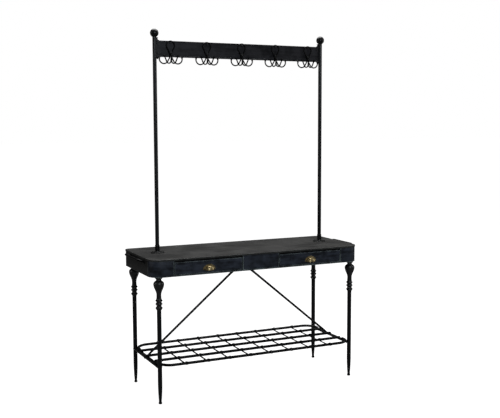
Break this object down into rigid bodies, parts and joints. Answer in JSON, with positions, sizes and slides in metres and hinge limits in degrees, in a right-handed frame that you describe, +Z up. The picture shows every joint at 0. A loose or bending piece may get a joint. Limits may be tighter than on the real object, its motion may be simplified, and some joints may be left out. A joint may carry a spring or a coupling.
{
  "type": "hall tree",
  "caption": "Black steel console table with drawers, turned legs and a wire shelf, and posts that carry a rail of wire coat hooks.",
  "frame": {"origin": "middle of the overall footprint, on the floor", "axes": "+Z up, X along the table, the drawers face -Y"},
  "size_m": [1.3194, 0.4945, 1.9485],
  "materials": {
    "top_steel": "dark warm grey waxed steel, brushed",
    "apron_steel": "blue-black waxed steel with worn edges",
    "black_steel": "satin black",
    "black_cast_iron": "satin black paint on cast iron",
    "hook_wire": "black",
    "plain_steel": "bare zinc-coated sheet",
    "aged_brass": "aged, dark in the recesses",
    "foot_rubber": "matt"
  },
  "bodies": {
    "frame": {"top_panel": "top_steel", "side_panel_left": "apron_steel", "side_panel_right": "apron_steel", "back_panel": "apron_steel", "corner_front_left": "apron_steel", "corner_front_right": "apron_steel", "front_centre_panel": "apron_steel", "front_top_rail": "apron_steel", "front_bottom_rail": "apron_steel", "divider_left": "apron_steel", "divider_right": "apron_steel", "drawer_runners": "plain_steel", "leg_mounting_plates": "black_steel", "brace_cross_bar": "black_steel", "leg_casting_fl": "black_cast_iron", "leg_casting_fr": "black_cast_iron", "leg_casting_bl": "black_cast_iron", "leg_casting_br": "black_cast_iron", "leg_tube_fl": "black_steel", "leg_tube_fr": "black_steel", "leg_tube_bl": "black_steel", "leg_tube_br": "black_steel", "foot_pads": "foot_rubber", "leg_screws": "plain_steel", "shelf_front_rod": "black_steel", "shelf_back_rod": "black_steel", "shelf_inner_rods": "black_steel", "shelf_cross_strips": "black_steel", "shelf_side_bar_left": "black_steel", "shelf_side_bar_right": "black_steel", "brace_left": "black_steel", "brace_right": "black_steel", "brace_bolts": "plain_steel", "hook_post_left": "black_steel", "hook_post_right": "black_steel", "post_flange_left": "black_cast_iron", "post_flange_right": "black_cast_iron", "flange_screws": "black_steel", "ball_finial_left": "black_cast_iron", "ball_finial_right": "black_cast_iron", "hook_rail": "apron_steel", "rail_bracket_left": "black_steel", "rail_bracket_right": "black_steel", "rail_bolts": "black_steel", "hook_1": "hook_wire", "hook_2": "hook_wire", "hook_3": "hook_wire", "hook_4": "hook_wire", "hook_5": "hook_wire", "hook_screws": "black_steel", "towel_bar_left": "black_steel", "towel_bar_right": "black_steel"},
    "drawer_left": {"drawer_left_front": "apron_steel", "drawer_left_tray": "plain_steel", "cup_pull_left": "aged_brass", "pull_screws_left": "aged_brass"},
    "drawer_right": {"drawer_right_front": "apron_steel", "drawer_right_tray": "plain_steel", "cup_pull_right": "aged_brass", "pull_screws_right": "aged_brass"}
  },
  "joints": [
    {"name": "drawer_left_slide", "type": "slide", "parent": "frame", "child": "drawer_left", "axis": [0, -1, 0], "range_m": [0, 0.28]},
    {"name": "drawer_right_slide", "type": "slide", "parent": "frame", "child": "drawer_right", "axis": [0, -1, 0], "range_m": [0, 0.28]}
  ]
}
